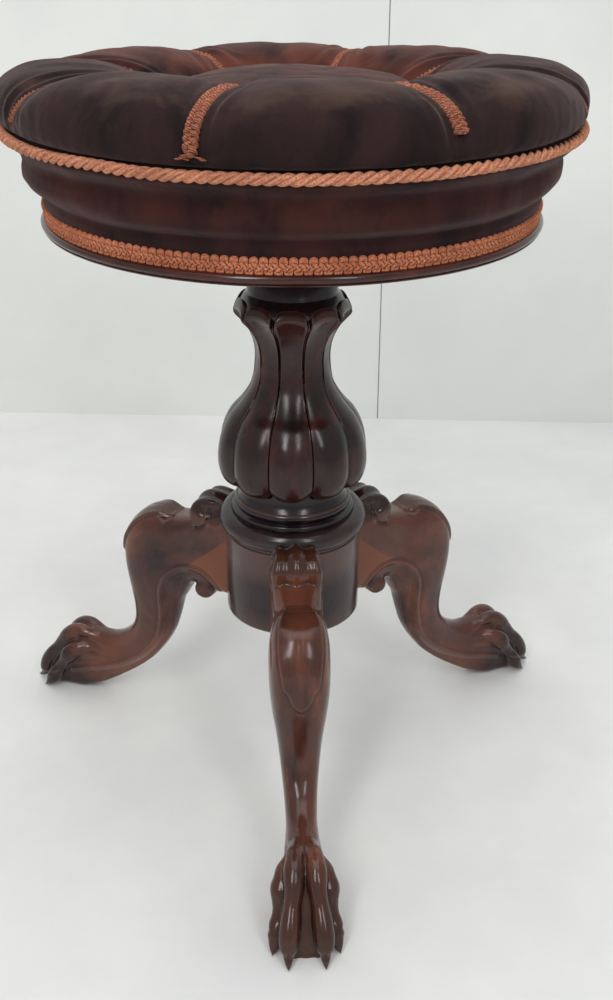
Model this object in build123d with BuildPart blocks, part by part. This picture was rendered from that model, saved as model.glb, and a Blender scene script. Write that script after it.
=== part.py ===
"""Revolving piano stool: a turned and carved pillar on three cabriole legs, with a padded round seat
that climbs on an iron screw.

Millimetres, +Z up. The origin is on the pillar's axis at floor level, and the front leg points along -Y.
"""

import os
from math import copysign, cos, radians, sin

from build123d import *

# ---------------------------------------------------------------- driving dimensions
# Turned base block
drum_bottom = 133.0  # underside of the drum above the floor
drum_height = 68.0
drum_radius = 49.7
drum_round = 2.5
torus_radius = 54.5  # the large moulding on the drum
torus_bead = 8.2
quirk_radius = 44.5
quirk_height = 1.8
cove_height = 1.6
astragal_radius = 41.8  # the small moulding over it
astragal_bead = 4.3
neck_radius = 36.0
socket_radius = 18.0  # column spigot in the base block
socket_depth = 40.0
wood_gap = 0.05  # clearance of glued wooden joints

# Carved column
petal_count = 10
petal_turn = -7.0  # degrees, centre of the petal nearest the front
neck_height = 7.5  # plain neck under the bulb
lobed_height = 139.5
groove_half = 3.2  # degrees, half the sunk reed between two petals
groove_share = 0.065  # depth of the sunk reed as a share of the radius
notch_depth = 9.0
notch_width = 11.0
cap_radius = 39.2
cap_rim = 4.0
cap_slope = 4.6
cap_height = 19.3  # cap and its collar above the cap's foot
collar_radius = 28.5
column_bore = 14.0
bore_floor_above_base = 22.0

# Screw, nut and seat plate
screw_radius = 11.0
running_gap = 0.06
fixed_gap = 0.02
nut_radius = 16.5
nut_length = 28.0
nut_flange_radius = 26.0
nut_flange = 3.5
nut_screw_circle = 22.6  # heads clear the hub
nut_screw_radius = 1.6
nut_screw_length = 16.0
nut_screw_head = 1.4
screw_tail = 118.0  # screw below the nut's top face when the seat is down
plate_gap = 5.5  # hub above the nut when the seat is down
hub_radius = 19.0
hub_height = 13.5
arm_count = 4
arm_reach = 62.0
arm_root_width = 26.0
arm_tip_width = 17.0
plate_thickness = 4.0
plate_screw_circle = 50.0
plate_screw_radius = 2.4
plate_screw_length = 15.0  # in the wood
screw_head_height = 2.4
stud_radius = 5.0
washer_radius = 12.6
washer_thickness = 3.0
tip_nut_radius = 8.5
tip_nut_height = 6.0

# Seat board and hoop
board_radius = 165.0
board_thickness = 19.0
board_edge = 7.4  # thin rim that overhangs the thicker middle
board_block_radius = 122.0
board_block_slope = 4.0
hoop_setback = 6.6  # behind the board's edge
hoop_wall = 22.4
hoop_height = 22.0

# Upholstery
cloth_gap = 0.3
border_height = 58.0  # from the board to the seam cord
border_foot_reach = 2.0  # past the hoop
border_crease = 19.0
border_crease_reach = 3.6
border_swell = 13.2  # reach of the swell over the crease past the hoop
border_swell_low = 27.0
border_swell_high = 38.0
border_top_reach = 24.5
border_top_drop = 4.0
padding_flare = 0.52  # outward lean of the padding above the hoop, mm per mm
gimp_height = 11.0
gimp_thickness = 1.9
seam_cord_radius = 3.15
cord_sides = 6
cushion_overhang = 30.6  # past the hoop
cushion_draw_in = 7.0  # how far the channels draw the edge in
cushion_height = 36.0  # crown of the ring above its foot
cushion_lean = 9.0  # extra height at the front, lost at the back
cushion_waist = 0.34  # height of the widest line as a share of the local height
cushion_fullness = 0.8  # 1 gives a half oval, less gives a squarer ring
channel_share = 0.27  # depth of the channels as a share of the local height
channel_count = 8
channel_turn = -19.4  # degrees, first channel
ring_inner = 88.0
centre_pad_height = 27.0
pad_gap = 0.8
radial_cord_radius = 3.4
cord_lift = 5.2  # middle of a cord above the floor of its channel

# Cabriole legs
leg_count = 3
leg_turn = -90.0
leg_width = 37.0
knee_width = 42.5
ankle_width = 21.5
paw_width = 40.0
foot_radius = 243.0  # claw tips from the axis
leg_drop = 1.5  # root of the leg below the drum
leg_shoulder = 3.0  # top of the root below the drum's top
hump_radius = 15.5  # leaf roll at the top of the leg
hump_offset = 24.3
scroll_radius = 7.0  # scroll under the root
scroll_offset = 19.5
leaf_proud = 1.6
leaf_width = 30.0
leaf_depth = 12.0
leaf_corner = 5.0
tenon_neck = 13.0
tenon_width = 19.0
tenon_length = 13.0
tenon_top_gap = 14.0
toe_count = 4
toe_radius = 8.2
toe_splay = 7.0  # degrees between toes

# ---------------------------------------------------------------- worked out from the sizes above
drum_top = drum_bottom + drum_height
torus_z = drum_top + torus_bead
torus_centre = torus_radius - torus_bead
quirk_z = torus_z + torus_bead
astragal_z = quirk_z + quirk_height + cove_height + astragal_bead
base_top = astragal_z + astragal_bead
bulb_z = base_top + neck_height
petals_top = bulb_z + lobed_height
cap_foot = petals_top - cap_rim
column_top = cap_foot + cap_height
nut_top = column_top + nut_flange
hub_bottom = nut_top + plate_gap
hoop_outer = board_radius - hoop_setback
hoop_inner = hoop_outer - hoop_wall
cushion_radius = hoop_outer + cushion_overhang
plate_bottom = hub_bottom + hub_height
board_bottom = plate_bottom + plate_thickness
board_top = board_bottom + board_thickness
seam_z = board_top + border_height
hoop_top = board_top + hoop_height
cushion_foot = seam_z + 2.0
cord_z = seam_z - 1.0
cord_ring_radius = hoop_outer + border_top_reach + seam_cord_radius / 2
cord_top = cord_z + 0.87 * seam_cord_radius
screw_bottom = nut_top - screw_tail
leg_reach = foot_radius - drum_radius
leg_angles = [leg_turn + 360 / leg_count * i for i in range(leg_count)]
tenon_height = drum_height - tenon_top_gap

os.makedirs("parts", exist_ok=True)


def save(part, name):
    part.label = name
    export_step(part, f"parts/{name}.step")


def meridian(angle):
    """Plane through the pillar's axis: local x runs outwards at the angle, local y is up."""
    a = radians(angle)
    return Plane(origin=(0, 0, 0), x_dir=(cos(a), sin(a), 0), z_dir=(sin(a), -cos(a), 0))


def polar(radius, angle):
    return radius * cos(radians(angle)), radius * sin(radians(angle))


def bead(centre, middle_z, radius, flats):
    """Half-round moulding drawn with a few flats, from its foot to its top."""
    steps = [radians(180 * i / flats - 90) for i in range(flats + 1)]
    return [(centre + radius * cos(a), middle_z + radius * sin(a)) for a in steps]


def screw_plan(height, radius, circle, count, start):
    """Round of screws or of their holes, seen from above."""
    with BuildSketch(Plane.XY.offset(height)) as plan:
        with PolarLocations(circle, count, start_angle=start):
            RegularPolygon(radius, 8)
    return plan.sketch


# ---------------------------------------------------------------- base block
def tenon_plan(angle, gap):
    """Dovetail seen from above: narrow at the drum's face, wide at its end."""
    a = radians(angle)
    neck, wide = tenon_neck / 2 + gap, tenon_width / 2 + gap
    face, end = drum_radius + 2, drum_radius - tenon_length - gap
    plane = Plane(origin=(0, 0, drum_bottom), x_dir=(cos(a), sin(a), 0), z_dir=(0, 0, 1))
    with BuildSketch(plane) as plan:
        with BuildLine():
            Polyline((face, neck), (end, wide), (end, -wide), (face, -neck), close=True)
        make_face()
    return plan.sketch


with BuildPart() as base_block:
    with BuildSketch(Plane.XZ):
        with BuildLine():
            Polyline(
                (0, drum_bottom),
                (drum_radius - drum_round, drum_bottom),
                (drum_radius, drum_bottom + drum_round),
                (drum_radius, drum_top),
                *bead(torus_centre, torus_z, torus_bead, 5),
                (quirk_radius, quirk_z),
                (quirk_radius, quirk_z + quirk_height),
                *bead(astragal_radius - astragal_bead, astragal_z, astragal_bead, 3),
                (0, base_top),
                close=True,
            )
        make_face()
    revolve(axis=Axis.Z)
    with BuildSketch(Plane.XY.offset(base_top)):
        Circle(socket_radius + wood_gap)
    extrude(amount=-socket_depth - wood_gap, mode=Mode.SUBTRACT)
    for angle in leg_angles:
        extrude(tenon_plan(angle, wood_gap), amount=tenon_height + wood_gap, mode=Mode.SUBTRACT)
save(base_block.part, "base_block")

# ---------------------------------------------------------------- carved column
# silhouette of the petals: radius and height above the bulb's foot as a share of the lobed height
column_silhouette = [
    (39.0, 0.0),
    (50.8, 0.045),
    (55.0, 0.17),
    (50.2, 0.34),
    (38.1, 0.45),
    (28.2, 0.58),
    (26.1, 0.70),
    (29.7, 0.823),
    (38.2, 0.935),
    (41.0, 1.0),
]
ring_steps = 15

with BuildLine() as silhouette:
    Spline(*[(radius, share * lobed_height) for radius, share in column_silhouette])


def petal_ring(share):
    """Closed outline of the petals, with a narrow sunk reed between each pair."""
    point = silhouette.line @ share
    radius = point.X
    groove = groove_share * radius
    pitch = 360 / petal_count
    flank = pitch / 2 - groove_half
    points = []
    for i in range(petal_count):
        middle = petal_turn - 90 + pitch * i
        points.append(polar(radius - 0.5 * groove, middle - flank))
        points.append(polar(radius, middle - 0.36 * flank))
        points.append(polar(radius, middle + 0.36 * flank))
        points.append(polar(radius - 0.5 * groove, middle + flank))
        points.append(polar(radius - groove, middle + pitch / 2))
    with BuildSketch(Plane.XY.offset(bulb_z + point.Y)) as ring:
        Polygon(*points, align=None)
    return ring.sketch


def notch_plane(index):
    """Upright plane that faces outwards between two petals, at the top of their tips."""
    a = radians(petal_turn - 90 + 360 / petal_count * (index + 0.5))
    reach = cap_radius - 3.0
    origin = (reach * cos(a), reach * sin(a), petals_top)
    return Plane(origin=origin, x_dir=(-sin(a), cos(a), 0), z_dir=(cos(a), sin(a), 0))


with BuildPart() as column:
    loft([petal_ring(step / ring_steps) for step in range(ring_steps + 1)], ruled=True)
    # the petals' tips part from each other in V notches
    with BuildSketch(*[notch_plane(i) for i in range(petal_count)]):
        Polygon((-notch_width / 2, 1), (notch_width / 2, 1), (0, -notch_depth), align=None)
    extrude(amount=cap_radius, mode=Mode.SUBTRACT)
    # turned cap that the petals stand against, the collar over it, the neck and the spigot
    with BuildSketch(Plane.XZ):
        with BuildLine():
            Polyline(
                (0, cap_foot - 8),
                (cap_radius - 8, cap_foot - 8),
                (cap_radius, cap_foot),
                (cap_radius, petals_top),
                (collar_radius + 3, petals_top + cap_slope),
                (collar_radius, petals_top + cap_slope),
                (collar_radius, column_top),
                (0, column_top),
                close=True,
            )
        make_face()
    revolve(axis=Axis.Z)
    with BuildSketch(Plane.XY.offset(base_top)):
        Circle(neck_radius)
    extrude(amount=neck_height + 0.5)
    with BuildSketch(Plane.XY.offset(base_top - socket_depth)):
        Circle(socket_radius)
    extrude(amount=socket_depth)
    with BuildSketch(Plane.XY.offset(column_top)):
        Circle(column_bore)
    extrude(amount=base_top + bore_floor_above_base - column_top, mode=Mode.SUBTRACT)
    with BuildSketch(Plane.XY.offset(column_top)):
        Circle(nut_radius + wood_gap)
    extrude(amount=-(nut_length - nut_flange) - wood_gap, mode=Mode.SUBTRACT)
    hole = screw_plan(column_top, nut_screw_radius + fixed_gap, nut_screw_circle, 3, 0)
    extrude(hole, amount=-nut_screw_length, mode=Mode.SUBTRACT)
save(column.part, "column")

# ---------------------------------------------------------------- threaded nut in the column's top
with BuildPart() as thread_nut:
    with BuildSketch(Plane.XY.offset(nut_top)):
        Circle(nut_flange_radius)
    extrude(amount=-nut_flange)
    with BuildSketch(Plane.XY.offset(column_top)):
        Circle(nut_radius)
    extrude(amount=-(nut_length - nut_flange))
    with BuildSketch(Plane.XY.offset(nut_top)):
        Circle(screw_radius + running_gap)
    extrude(amount=-nut_length, mode=Mode.SUBTRACT)
    hole = screw_plan(nut_top, nut_screw_radius + fixed_gap, nut_screw_circle, 3, 0)
    extrude(hole, amount=-nut_flange, mode=Mode.SUBTRACT)
save(thread_nut.part, "thread_nut")

with BuildPart() as nut_screws:
    foot = column_top - nut_screw_length + wood_gap
    head = nut_top + fixed_gap
    extrude(screw_plan(foot, nut_screw_radius, nut_screw_circle, 3, 0), amount=head - foot)
    extrude(screw_plan(head, 1.9 * nut_screw_radius, nut_screw_circle, 3, 0), amount=nut_screw_head)
save(nut_screws.part, "nut_screws")

# ---------------------------------------------------------------- screw and its stop
with BuildPart() as spindle_screw:
    with BuildSketch(Plane.XY.offset(screw_bottom)):
        Circle(screw_radius)
    extrude(amount=board_bottom - fixed_gap - screw_bottom)
    stud_length = washer_thickness + 2 * running_gap + tip_nut_height
    with BuildSketch(Plane.XY.offset(screw_bottom)):
        Circle(stud_radius)
    extrude(amount=-stud_length)
save(spindle_screw.part, "spindle_screw")

with BuildPart() as stop_washer:
    with BuildSketch(Plane.XY.offset(screw_bottom - running_gap)):
        Circle(washer_radius)
        Circle(stud_radius + running_gap, mode=Mode.SUBTRACT)
    extrude(amount=-washer_thickness)
save(stop_washer.part, "stop_washer")

with BuildPart() as stop_nut:
    with BuildSketch(Plane.XY.offset(screw_bottom - washer_thickness - 2 * running_gap)):
        RegularPolygon(tip_nut_radius, 6)
        Circle(stud_radius + fixed_gap, mode=Mode.SUBTRACT)
    extrude(amount=-tip_nut_height)
save(stop_nut.part, "stop_nut")

# ---------------------------------------------------------------- seat plate and its screws
with BuildPart() as seat_plate:
    with BuildSketch(Plane.XY.offset(plate_bottom)):
        with PolarLocations(0, arm_count, start_angle=45):
            Polygon(
                (0, -arm_root_width / 2),
                (arm_reach - arm_tip_width / 4, -arm_tip_width / 2),
                (arm_reach, -arm_tip_width / 4),
                (arm_reach, arm_tip_width / 4),
                (arm_reach - arm_tip_width / 4, arm_tip_width / 2),
                (0, arm_root_width / 2),
                align=None,
            )
    extrude(amount=plate_thickness)
    with BuildSketch(Plane.XY.offset(plate_bottom)):
        Circle(hub_radius)
    extrude(amount=-hub_height)
    with BuildSketch(Plane.XY.offset(board_bottom)):
        Circle(screw_radius + fixed_gap)
    extrude(amount=-plate_thickness - hub_height, mode=Mode.SUBTRACT)
    hole = screw_plan(plate_bottom, plate_screw_radius + fixed_gap, plate_screw_circle, arm_count, 45)
    extrude(hole, amount=plate_thickness, mode=Mode.SUBTRACT)
save(seat_plate.part, "seat_plate")

with BuildPart() as seat_plate_screws:
    seat = plate_bottom - fixed_gap
    shank = plate_thickness + plate_screw_length
    heads = screw_plan(seat, 2 * plate_screw_radius, plate_screw_circle, arm_count, 45)
    extrude(heads, amount=-screw_head_height)
    extrude(screw_plan(seat, plate_screw_radius, plate_screw_circle, arm_count, 45), amount=shank)
save(seat_plate_screws.part, "seat_plate_screws")

# ---------------------------------------------------------------- seat board and hoop
with BuildPart() as seat_board:
    with BuildSketch(Plane.XZ):
        with BuildLine():
            rim_bottom = board_top - board_edge
            Polyline(
                (0, board_bottom),
                (board_block_radius - board_block_slope, board_bottom),
                (board_block_radius, rim_bottom),
                (board_radius - 1.5, rim_bottom),
                (board_radius, rim_bottom + 1.5),
                (board_radius, board_top),
                (0, board_top),
                close=True,
            )
        make_face()
    revolve(axis=Axis.Z)
    hole = screw_plan(board_bottom, plate_screw_radius + fixed_gap, plate_screw_circle, arm_count, 45)
    extrude(hole, amount=plate_screw_length + 1, mode=Mode.SUBTRACT)
save(seat_board.part, "seat_board")

with BuildPart() as seat_hoop:
    with BuildSketch(Plane.XY.offset(board_top)):
        Circle(hoop_outer)
        Circle(hoop_inner, mode=Mode.SUBTRACT)
    extrude(amount=hoop_height)
save(seat_hoop.part, "seat_hoop")


# ---------------------------------------------------------------- border cloth, stuffing, trimmings
def padding_radius(height):
    """Outer face of the padding, which leans outwards above the hoop."""
    return hoop_outer + padding_flare * (height - hoop_top)


with BuildPart() as border_velvet:
    foot_z = board_top + cloth_gap
    border_top = seam_z - border_top_drop
    with BuildSketch(Plane.XZ):
        with BuildLine():
            Polyline(
                (hoop_outer + cloth_gap, foot_z),
                (hoop_outer + border_foot_reach, foot_z),
                (hoop_outer + border_crease_reach, board_top + border_crease),
                (hoop_outer + border_swell, board_top + border_swell_low),
                (hoop_outer + border_swell + 2.0, board_top + border_swell_high),
                (hoop_outer + border_top_reach, border_top),
                (padding_radius(border_top) + cloth_gap, border_top),
                (hoop_outer + cloth_gap, hoop_top),
                close=True,
            )
        make_face()
    revolve(axis=Axis.Z)
save(border_velvet.part, "border_velvet")

with BuildPart() as stuffing:
    pad_top = cushion_foot - cloth_gap
    with BuildSketch(Plane.XZ):
        with BuildLine():
            Polyline(
                (0, foot_z),
                (hoop_inner - cloth_gap, foot_z),
                (hoop_inner - cloth_gap, hoop_top + cloth_gap),
                (hoop_outer - cloth_gap, hoop_top + cloth_gap),
                (padding_radius(pad_top) - cloth_gap, pad_top),
                (0, pad_top),
                close=True,
            )
        make_face()
    revolve(axis=Axis.Z)
save(stuffing.part, "stuffing")

with BuildPart() as gimp_braid:
    gimp_inner = hoop_outer + border_crease_reach
    with BuildSketch(Plane.XY.offset(board_top)):
        Circle(gimp_inner + gimp_thickness)
        Circle(gimp_inner, mode=Mode.SUBTRACT)
    extrude(amount=gimp_height)
save(gimp_braid.part, "gimp_braid")

with BuildPart() as seam_cord:
    with BuildSketch(Plane.XZ):
        with Locations((cord_ring_radius, cord_z)):
            RegularPolygon(seam_cord_radius, cord_sides)
    revolve(axis=Axis.Z)
save(seam_cord.part, "seam_cord")


# ---------------------------------------------------------------- channelled cushion and centre pad
def ring_height(angle, puff):
    """Height of the ring: fuller at the front, lower where a channel pulls it down."""
    full = cushion_height + cushion_lean * cos(radians(angle - leg_turn))
    return full * (1 - channel_share * (1 - puff))


def ring_outline(angle, puff, proud, turns):
    """Points of the ring's section at the turns given in degrees, from 0 at its edge to 180 at its inside."""
    height = ring_height(angle, puff)
    waist = cushion_waist * height
    edge = cushion_radius - cushion_draw_in * (1 - puff)
    middle, half = (edge + ring_inner) / 2, (edge - ring_inner) / 2 + proud
    points = []
    for turn in turns:
        across, up = cos(radians(turn)), sin(radians(turn))
        x = middle + copysign(half * abs(across) ** cushion_fullness, across)
        points.append((x, cushion_foot + waist + (height - waist + proud) * up**cushion_fullness))
    return points


def ring_section(angle, puff):
    height = ring_height(angle, puff)
    top = ring_outline(angle, puff, 0, range(0, 181, 20))
    outer_foot = (top[0][0] - 0.25 * height, cushion_foot)
    inner_foot = (ring_inner + 0.1 * height, cushion_foot)
    with BuildSketch(meridian(angle)) as section:
        Polygon(outer_foot, *top, inner_foot, align=None)
    return section.sketch


def cord_solid(angle):
    """Cord that lies in a channel, from the centre pad over the ring down to the seam cord."""
    points = ring_outline(angle, 0, cord_lift, range(140, -1, -20))
    points.append((points[-1][0] - 0.4, cord_top + 1.5 * cloth_gap))
    with BuildPart() as cord:
        with BuildLine(meridian(angle)) as line:
            Polyline(*points)
        with BuildSketch(Plane(origin=line.line @ 0, z_dir=line.line % 0)):
            RegularPolygon(radial_cord_radius, cord_sides)
        sweep(path=line.line, transition=Transition.RIGHT)
    return cord.part


channel_angles = [channel_turn + 360 / channel_count * i for i in range(channel_count)]
half_lobe = 180 / channel_count
# place across the lobe, puff
lobe_sections = ((-1, 0), (-0.62, 0.72), (0, 1), (0.62, 0.72), (1, 0))

with BuildPart() as cushion_cover:
    for angle in channel_angles:
        middle = angle + half_lobe
        loft([ring_section(middle + share * half_lobe, puff) for share, puff in lobe_sections], ruled=True)
save(cushion_cover.part, "cushion_cover")

for number, angle in enumerate(channel_angles, 1):
    save(cord_solid(angle), f"radial_cord_{number}")

with BuildPart() as centre_pad:
    pad_radius = ring_inner - pad_gap
    with BuildSketch(Plane.XZ):
        with BuildLine():
            Polyline(
                (0, cushion_foot),
                (pad_radius - 3, cushion_foot),
                (pad_radius, cushion_foot + 0.3 * centre_pad_height),
                (pad_radius - 5, cushion_foot + 0.66 * centre_pad_height),
                (0.62 * pad_radius, cushion_foot + 0.93 * centre_pad_height),
                (0, cushion_foot + centre_pad_height),
                close=True,
            )
        make_face()
    revolve(axis=Axis.Z)
save(centre_pad.part, "centre_pad")

# ---------------------------------------------------------------- cabriole leg
# Stations down the leg: outer edge and inner edge as (reach share, height share), width, corner.
# The reach share runs from the drum's face to the claw tips, the height share from floor to drum top.
leg_stations = [
    ((0.120, 0.982), (0.120, 0.652), leg_width, 4.0),
    ((0.215, 0.950), (0.200, 0.640), leg_width * 0.94, 7.0),
    ((0.375, 0.943), (0.222, 0.612), knee_width * 0.97, 10.0),
    ((0.470, 0.853), (0.236, 0.580), knee_width, 11.5),
    ((0.497, 0.735), (0.248, 0.545), knee_width * 0.97, 11.5),
    ((0.487, 0.625), (0.262, 0.500), knee_width * 0.87, 11.0),
    ((0.475, 0.525), (0.278, 0.440), knee_width * 0.76, 10.0),
    ((0.468, 0.455), (0.300, 0.385), knee_width * 0.68, 9.0),
    ((0.484, 0.395), (0.335, 0.325), ankle_width * 1.22, 8.5),
    ((0.520, 0.350), (0.380, 0.268), ankle_width * 1.10, 8.0),
    ((0.572, 0.318), (0.430, 0.205), ankle_width * 1.02, 8.0),
    ((0.632, 0.302), (0.500, 0.140), ankle_width * 1.02, 8.5),
    ((0.700, 0.308), (0.610, 0.050), ankle_width * 1.35, 10.0),
    ((0.765, 0.312), (0.740, -0.010), paw_width * 0.86, 11.0),
    ((0.830, 0.265), (0.840, -0.010), paw_width * 0.92, 11.0),
    ((0.880, 0.190), (0.900, -0.010), paw_width * 0.86, 9.0),
]


def leg_point(shares):
    return drum_radius + shares[0] * leg_reach, shares[1] * drum_top


def section_plane(outer, inner):
    """Plane square to the leg's line; its local x runs from the inner edge to the outer edge."""
    length = ((outer[0] - inner[0]) ** 2 + (outer[1] - inner[1]) ** 2) ** 0.5
    a, b = (outer[0] - inner[0]) / length, (outer[1] - inner[1]) / length
    middle = ((outer[0] + inner[0]) / 2, 0, (outer[1] + inner[1]) / 2)
    return Plane(origin=middle, x_dir=(a, 0, b), z_dir=(b, 0, -a)), length


def rounded_box(plane, length, width, corner):
    """Rectangle whose corners are rounded with two flats each."""
    x, y = length / 2, width / 2
    c, d = min(corner, x - 0.2, y - 0.2), 0.293 * min(corner, x - 0.2, y - 0.2)
    half = [(x, y - c), (x - d, y - d), (x - c, y), (c - x, y), (d - x, y - d), (-x, y - c)]
    points = half + [(-a, -b) for a, b in half]
    with BuildSketch(plane) as section:
        Polygon(*points, align=None)
    return section.sketch


def leg_section(outer, inner, width, corner):
    plane, length = section_plane(outer, inner)
    return rounded_box(plane, length, width, corner)


def leaf_section(station, share):
    """Raised leaf on the front of the knee, standing a little proud of the leg."""
    outer, inner = leg_point(leg_stations[station][0]), leg_point(leg_stations[station][1])
    plane, length = section_plane(outer, inner)
    middle = plane.from_local_coords((length / 2 + leaf_proud - leaf_depth / 2, 0, 0))
    leaf_plane = Plane(origin=middle, x_dir=plane.x_dir, z_dir=plane.z_dir)
    return rounded_box(leaf_plane, leaf_depth, leaf_width * share, leaf_corner)


# station that the leaf lies on, share of the leaf's width
leaf_stations = ((1, 0.62), (2, 1.0), (3, 1.06), (4, 0.86), (5, 0.40))

# toe line: reach beyond the paw's middle, height, radius share
toe_line = [
    (-30.0, 38.0, 1.00),
    (-14.0, 50.0, 1.10),
    (0.0, 49.0, 1.12),
    (10.0, 38.0, 0.95),
    (19.0, 27.0, 1.08),
    (26.0, 13.0, 0.76),
    (26.5, 1.5, 0.20),
]
paw_middle = foot_radius - 28.0
paw_root = foot_radius - 78.0
toe_scale = toe_radius / 8.2


def toe(index):
    """One toe with two knuckles and a claw, splayed from the paw's root."""
    turn = radians(toe_splay * (index - (toe_count - 1) / 2))
    outer_toe = abs(index - (toe_count - 1) / 2) > 1
    shorten = 5.0 if outer_toe else 0.0
    lower = 0.86 if outer_toe else 1.0
    heading = Vector(cos(turn), sin(turn), 0)
    root = Vector(paw_root, 0, 0)
    places = []
    for reach, height, share in toe_line:
        out = paw_middle + reach * toe_scale - shorten - paw_root
        places.append((root + heading * out + Vector(0, 0, height * toe_scale * lower), share))
    sections = []
    for i, (place, share) in enumerate(places):
        before = places[max(i - 1, 0)][0]
        after = places[min(i + 1, len(places) - 1)][0]
        across = Plane(origin=place, x_dir=(-sin(turn), cos(turn), 0), z_dir=after - before)
        with BuildSketch(across) as section:
            RegularPolygon(toe_radius * share, 6)
        sections.append(section.sketch)
    return sections


with BuildPart() as leg:
    # root: flat-sided block against the drum
    root_bottom = drum_bottom - leg_drop
    root_top = drum_top - leg_shoulder
    root_in = drum_radius - 4.0
    root = leg_section((root_in, root_top), (root_in, root_bottom), leg_width, 4.0)
    stations = [leg_section(leg_point(outer), leg_point(inner), *rest) for outer, inner, *rest in leg_stations]
    loft([root] + stations, ruled=True)
    loft([leaf_section(station, share) for station, share in leaf_stations], ruled=True)
    # leaf roll at the top, scroll under the root
    for offset, radius, height, width in (
        (hump_offset, hump_radius, drum_top - 11.0, leg_width + 1.5),
        (scroll_offset, scroll_radius, drum_bottom - 0.5, leg_width + 1.0),
    ):
        with BuildSketch(Plane.XZ.offset(-width / 2)):
            with Locations((drum_radius + offset, height)):
                RegularPolygon(radius, 18)
        extrude(amount=width)
    for index in range(toe_count):
        loft(toe(index), ruled=True)
    # flat sole, and the shoulder cut to the drum's round
    with BuildSketch(Plane.XY):
        Rectangle(3 * foot_radius, 3 * foot_radius)
    extrude(amount=-40, mode=Mode.SUBTRACT)
    with BuildSketch(Plane.XY.offset(drum_bottom - 60)):
        Circle(drum_radius + wood_gap)
    extrude(amount=drum_height + 120, mode=Mode.SUBTRACT)
    extrude(tenon_plan(0, 0), amount=tenon_height)

for name, angle in zip(("leg_front", "leg_right", "leg_left"), leg_angles):
    save(leg.part.rotate(Axis.Z, angle), name)

print("screw travel before the stop washer meets the nut:", nut_top - nut_length - screw_bottom)
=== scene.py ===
import math

import bmesh
import bpy
from mathutils import Matrix, Vector, noise
from mathutils.geometry import intersect_point_line


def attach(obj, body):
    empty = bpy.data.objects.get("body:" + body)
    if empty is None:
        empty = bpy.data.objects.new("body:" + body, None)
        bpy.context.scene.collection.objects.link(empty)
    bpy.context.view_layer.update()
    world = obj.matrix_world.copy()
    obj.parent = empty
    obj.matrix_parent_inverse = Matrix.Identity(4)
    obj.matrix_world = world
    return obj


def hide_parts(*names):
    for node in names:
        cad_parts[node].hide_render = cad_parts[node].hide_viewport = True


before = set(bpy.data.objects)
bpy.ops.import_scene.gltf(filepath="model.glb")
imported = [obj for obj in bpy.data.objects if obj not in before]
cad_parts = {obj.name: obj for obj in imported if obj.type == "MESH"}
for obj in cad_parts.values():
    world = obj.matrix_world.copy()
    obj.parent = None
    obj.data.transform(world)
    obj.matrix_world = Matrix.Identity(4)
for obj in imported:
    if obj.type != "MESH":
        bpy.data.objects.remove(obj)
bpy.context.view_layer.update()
scene = bpy.context.scene
mm = 0.001
for startup in ("Cube", "Light", "Camera"):
    if startup in bpy.data.objects:
        bpy.data.objects.remove(bpy.data.objects[startup])


# small helpers
def clamp(x, low=0.0, high=1.0):
    return max(low, min(high, x))


def ease(low, high, x):
    # 0 below low, 1 above high, smooth between
    t = clamp((x - low) / (high - low))
    return t * t * (3 - 2 * t)


def hill(x, width):
    return math.exp(-((x / width) ** 2))


def signedPower(x, power):
    return math.copysign(abs(x) ** power, x)


def around(radius, degrees, height=0.0):
    a = math.radians(degrees)
    return Vector((radius * math.cos(a), radius * math.sin(a), height))


def noiseBy(x, y, z):
    return noise.noise(Vector((x, y, z)))


def turnFrom(start, turn):
    # degrees from start to turn, the short way round
    return (turn - start + 180) % 360 - 180


def follow(table, x):
    # smooth curve through (x, y) pairs
    if x <= table[0][0]:
        return table[0][1]
    for i in range(len(table) - 1):
        (x0, y0), (x1, y1) = table[i], table[i + 1]
        if x <= x1:
            xa, ya = table[max(i - 1, 0)]
            xb, yb = table[min(i + 2, len(table) - 1)]
            step = x1 - x0
            f = (x - x0) / step
            m0, m1 = (y1 - ya) / (x1 - xa) * step, (yb - y0) / (xb - x0) * step
            cube, square = f**3, f * f
            return (
                (2 * cube - 3 * square + 1) * y0 + (cube - 2 * square + f) * m0
                + (3 * square - 2 * cube) * y1 + (cube - square) * m1
            )
    return table[-1][1]


def through(stations, t):
    # smooth tuple through evenly numbered stations, t from 0 to 1
    t = clamp(t) * (len(stations) - 1)
    i = min(int(t), len(stations) - 2)
    f = t - i
    four = [stations[clamp(i + k, 0, len(stations) - 1)] for k in (-1, 0, 1, 2)]
    return [
        0.5 * (2 * b + (c - a) * f + (2 * a - 5 * b + 4 * c - d) * f * f + (3 * b - a - 3 * c + d) * f**3)
        for a, b, c, d in zip(*four)
    ]


def roundBead(centre, height, radius, steps=10, start=-90, end=90):
    turns = [math.radians(start + (end - start) * i / steps) for i in range(steps + 1)]
    return [(centre + radius * math.cos(a), height + radius * math.sin(a)) for a in turns]


def spinProfile(bm, profile, steps=128):
    # closed (radius, height) outline turned round the pillar's axis
    verts = [bm.verts.new((r, 0, z)) for r, z in profile]
    edges = [bm.edges.new(pair) for pair in zip(verts, verts[1:] + verts[:1])]
    bmesh.ops.spin(
        bm, geom=verts + edges, axis=(0, 0, 1), cent=(0, 0, 0), angle=math.tau, steps=steps, use_merge=True
    )


def wrapGrid(bm, across, along, place):
    # a grid whose points are laid by place(u, v), both from 0 to 1
    bm.loops.layers.uv.verify()
    made = bmesh.ops.create_grid(bm, x_segments=across, y_segments=along, size=0.5, calc_uvs=True)
    for vert in made["verts"]:
        vert.co = place(clamp(vert.co.x + 0.5), clamp(vert.co.y + 0.5))


def weld(bm, gap=0.01):
    bmesh.ops.remove_doubles(bm, verts=bm.verts, dist=gap)


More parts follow.
